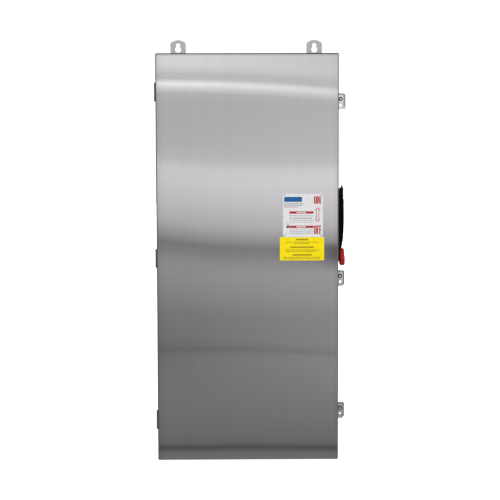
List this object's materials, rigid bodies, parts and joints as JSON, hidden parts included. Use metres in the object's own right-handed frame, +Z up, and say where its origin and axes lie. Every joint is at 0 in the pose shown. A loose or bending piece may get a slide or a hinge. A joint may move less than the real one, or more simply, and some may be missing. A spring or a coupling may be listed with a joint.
{
  "type": "fused disconnect switch",
  "caption": "Tall stainless wall cabinet with a hinged clamped door and a side lever that drives fused knife-blade poles, with wiring lugs inside.",
  "frame": {"origin": "centre of the four wall-bolt holes, on the wall plane behind the lugs", "axes": "+X right seen from the front, +Y into the wall, +Z up"},
  "size_m": [0.6382, 0.3117, 1.478],
  "materials": {
    "stainless": "brushed stainless sheet, vertical grain",
    "door_stainless": "brushed stainless sheet, vertical grain, slightly wavy",
    "clip_stainless": "pressed stainless, satin",
    "hinge_steel": "dark satin stainless",
    "screw_steel": "machined stainless",
    "washer_black": "black nylon",
    "zinc": "zinc plated steel",
    "galvanised": "galvanised sheet",
    "plate_steel": "bright mild steel",
    "spring_steel": "oil-tempered wire",
    "shaft_steel": "turned bar",
    "black_steel": "black oxide",
    "bronze": "turned bronze",
    "copper": "hard-drawn copper, lightly tarnished",
    "lug_aluminium": "extruded aluminium",
    "rivet_aluminium": "plain",
    "gasket": "closed-cell foam",
    "insulator_red": "moulded glass polyester",
    "insulator_black": "moulded phenolic",
    "barrier_grey": "fibre sheet",
    "clear_shield": "clear polycarbonate sheet",
    "fuse_tube": "glass-melamine tube with metal ends",
    "nameplate_white": "printed aluminium plate",
    "label_yellow": "printed vinyl",
    "black_paint": "satin black powder coat",
    "red_grip": "dipped gloss vinyl"
  },
  "bodies": {
    "enclosure": {"enclosure_wrapper": "stainless", "top_end_plate": "stainless", "bottom_end_plate": "stainless", "top_mounting_lugs": "stainless", "bottom_mounting_lugs": "stainless", "hinge_body_leaves": "hinge_steel", "hinge_pins": "hinge_steel", "clamp_tabs": "clip_stainless", "clamp_nuts": "zinc", "mounting_pan": "galvanised", "pan_studs": "zinc", "switch_base": "insulator_red", "load_base": "insulator_red", "base_bolts": "zinc", "arc_plates": "plate_steel", "phase_barriers": "barrier_grey", "line_shield": "clear_shield", "line_jaws": "copper", "hinge_jaws": "copper", "load_clips": "copper", "arc_chutes": "insulator_black", "blade_pivot_bolts": "zinc", "cable_lugs": "lug_aluminium", "lug_screws": "lug_aluminium", "ground_bar": "lug_aluminium", "ground_screws": "zinc", "mechanism_frame": "galvanised", "handle_housing": "black_paint", "housing_screws": "black_steel", "shaft_bushing": "bronze", "shaft_seal": "gasket", "drive_spring": "spring_steel"},
    "door": {"door_panel": "door_stainless", "door_gasket": "gasket", "door_stiffener": "stainless", "door_clips": "clip_stainless", "clamp_washers": "washer_black", "hinge_door_leaves": "hinge_steel", "nameplate": "nameplate_white", "caution_label": "label_yellow", "nameplate_rivets": "rivet_aluminium", "interlock_catch": "galvanised"},
    "clamp_screw_top": {"clamp_screw_top": "screw_steel"},
    "clamp_screw_middle": {"clamp_screw_middle": "screw_steel"},
    "clamp_screw_bottom": {"clamp_screw_bottom": "screw_steel"},
    "handle": {"operating_shaft": "shaft_steel", "drive_crank": "zinc", "handle_arm": "black_paint", "handle_grip": "red_grip", "hasp_pin": "black_steel"},
    "hasp": {"padlock_hasp": "black_paint"},
    "blades": {"crossbar": "insulator_black", "blade_a": "copper", "blade_b": "copper", "blade_c": "copper", "drive_fork": "zinc"},
    "interlock": {"interlock_lever": "zinc"},
    "fuse_a": {"fuse_a": "fuse_tube"},
    "fuse_b": {"fuse_b": "fuse_tube"},
    "fuse_c": {"fuse_c": "fuse_tube"}
  },
  "joints": [
    {"name": "door_swing", "type": "hinge", "parent": "enclosure", "child": "door", "pos_m": [-0.3034, -0.284, 0], "axis": [0, 0, -1], "range_deg": [0, 150]},
    {"name": "handle_swing", "type": "hinge", "parent": "enclosure", "child": "handle", "pos_m": [0.3, -0.2, 0.13], "axis": [-1, 0, 0], "range_deg": [0, 180]},
    {"name": "hasp_swing", "type": "hinge", "parent": "handle", "child": "hasp", "pos_m": [0.3218, -0.2, 0.1906], "axis": [0, 1, 0], "range_deg": [0, 85]},
    {"name": "blade_swing", "type": "hinge", "parent": "enclosure", "child": "blades", "pos_m": [0, -0.142, 0.13], "axis": [-1, 0, 0], "range_deg": [0, 56.4]},
    {"name": "interlock_swing", "type": "hinge", "parent": "enclosure", "child": "interlock", "pos_m": [0.238, -0.225, 0.235], "axis": [-1, 0, 0], "range_deg": [0, 12]},
    {"name": "clamp_screw_top_release", "type": "slide", "parent": "door", "child": "clamp_screw_top", "axis": [0, -1, 0], "range_m": [0, 0.012]},
    {"name": "clamp_screw_middle_release", "type": "slide", "parent": "door", "child": "clamp_screw_middle", "axis": [0, -1, 0], "range_m": [0, 0.012]},
    {"name": "clamp_screw_bottom_release", "type": "slide", "parent": "door", "child": "clamp_screw_bottom", "axis": [0, -1, 0], "range_m": [0, 0.012]},
    {"name": "fuse_a_pull", "type": "slide", "parent": "enclosure", "child": "fuse_a", "axis": [0, -1, 0], "range_m": [0, 0.1]},
    {"name": "fuse_b_pull", "type": "slide", "parent": "enclosure", "child": "fuse_b", "axis": [0, -1, 0], "range_m": [0, 0.1]},
    {"name": "fuse_c_pull", "type": "slide", "parent": "enclosure", "child": "fuse_c", "axis": [0, -1, 0], "range_m": [0, 0.1]}
  ],
  "couplings": [
    {"joint": "blade_swing", "follows": "handle_swing", "ratio": 0.31333},
    {"joint": "interlock_swing", "follows": "handle_swing", "ratio": 0.066666}
  ]
}
